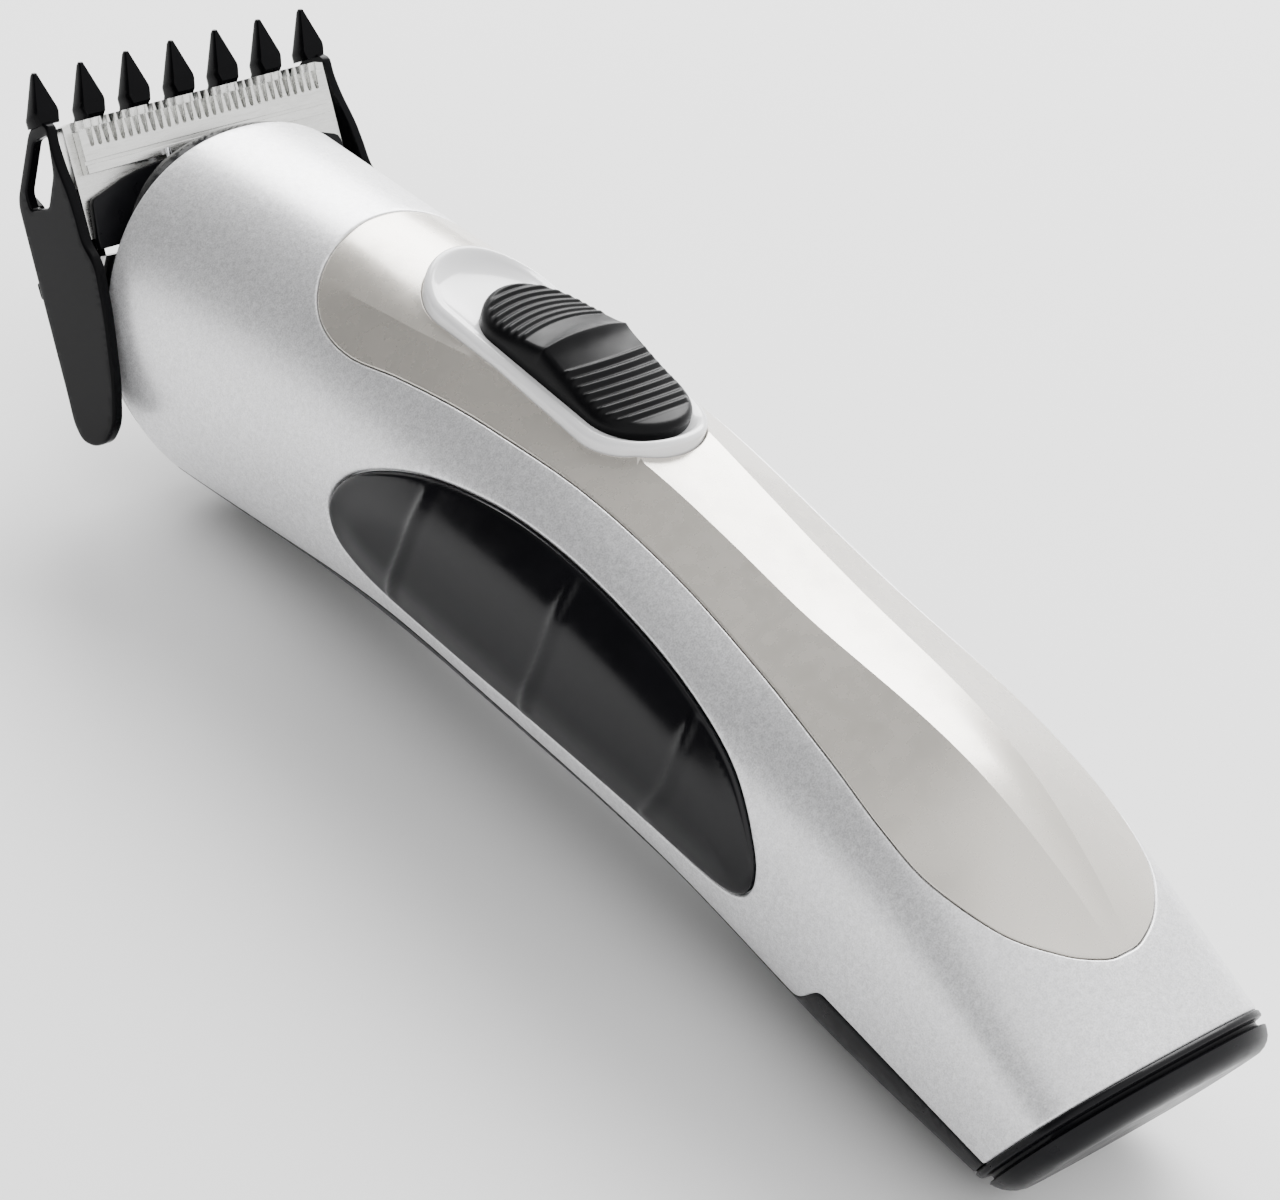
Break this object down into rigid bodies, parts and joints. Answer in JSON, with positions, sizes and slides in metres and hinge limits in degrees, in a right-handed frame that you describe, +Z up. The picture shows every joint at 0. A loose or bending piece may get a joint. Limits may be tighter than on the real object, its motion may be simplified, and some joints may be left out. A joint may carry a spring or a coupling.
{
  "type": "hair clipper",
  "caption": "Cordless hair clipper with an arched silver casing, ribbed slide switch, side grips, steel blades and a slip-on guide comb.",
  "frame": {"origin": "centre of the footprint, on the surface the clipper lies on, belly down", "axes": "+X across the width, +Y from the tail to the blades, +Z up out of the back"},
  "size_m": [0.0476, 0.1834, 0.0517],
  "materials": {
    "silver_casing": "satin metallic paint on moulded plastic, fine sparkle",
    "black_casing": "satin black moulded plastic",
    "pearl_panel": "pearl white lacquer, soft gloss",
    "white_bezel": "glossy white plastic",
    "black_button": "satin black plastic, ribbed",
    "grip_rubber": "glossy soft-touch rubber",
    "collar_black": "dark grey plastic, polished edge",
    "contact_metal": "plated contact strip",
    "inner_plastic": "dark moulded plastic",
    "natural_plastic": "natural white acetal",
    "battery_wrap": "green shrink sleeve",
    "nickel": "nickel strip",
    "motor_steel": "zinc plated can",
    "bush_bronze": "sintered bronze",
    "board_green": "solder resist",
    "board_black": "moulded packages",
    "switch_tin": "tinned steel frame",
    "screw_steel": "zinc plated",
    "shaft_steel": "ground steel",
    "blade_steel": "ground stainless steel",
    "comb_black": "black moulded plastic"
  },
  "bodies": {
    "housing": {"upper_casing": "silver_casing", "lower_casing": "black_casing", "top_panel": "pearl_panel", "switch_bezel": "white_bezel", "left_grip": "grip_rubber", "right_grip": "grip_rubber", "tail_cap": "black_casing", "charge_contacts": "contact_metal", "head_collar": "collar_black", "head_bulkhead": "inner_plastic", "chassis": "inner_plastic", "battery_cells": "battery_wrap", "battery_straps": "nickel", "motor_can": "motor_steel", "motor_end_bell": "natural_plastic", "motor_bush": "bush_bronze", "circuit_board": "board_green", "board_parts": "board_black", "power_switch": "switch_tin", "casing_screws": "screw_steel"},
    "switch": {"switch_button": "black_button", "switch_knob": "inner_plastic"},
    "rotor": {"motor_shaft": "shaft_steel", "eccentric_cam": "natural_plastic"},
    "blade_unit": {"blade_holder": "black_casing", "fixed_blade": "blade_steel", "blade_screws": "screw_steel", "cutter_spring": "shaft_steel"},
    "cutter": {"moving_blade": "blade_steel", "drive_yoke": "natural_plastic"},
    "comb": {"guide_comb": "comb_black"}
  },
  "joints": [
    {"name": "switch_slide", "type": "slide", "parent": "housing", "child": "switch", "axis": [0, 0.9994, 0.0349], "range_m": [0, 0.006]},
    {"name": "motor_spin", "type": "hinge", "parent": "housing", "child": "rotor", "pos_m": [0, 0.01883, 0.02214], "axis": [0, 1, 0], "continuous": true},
    {"name": "blade_tilt", "type": "hinge", "parent": "housing", "child": "blade_unit", "pos_m": [0, 0.06863, 0.01214], "axis": [-1, 0, 0], "range_deg": [0, 34]},
    {"name": "cutter_stroke", "type": "slide", "parent": "blade_unit", "child": "cutter", "axis": [1, 0, 0], "range_m": [-0.0011, 0.0011]},
    {"name": "comb_lift_off", "type": "slide", "parent": "blade_unit", "child": "comb", "axis": [0, 0.6018, 0.7986], "range_m": [0, 0.035]}
  ]
}
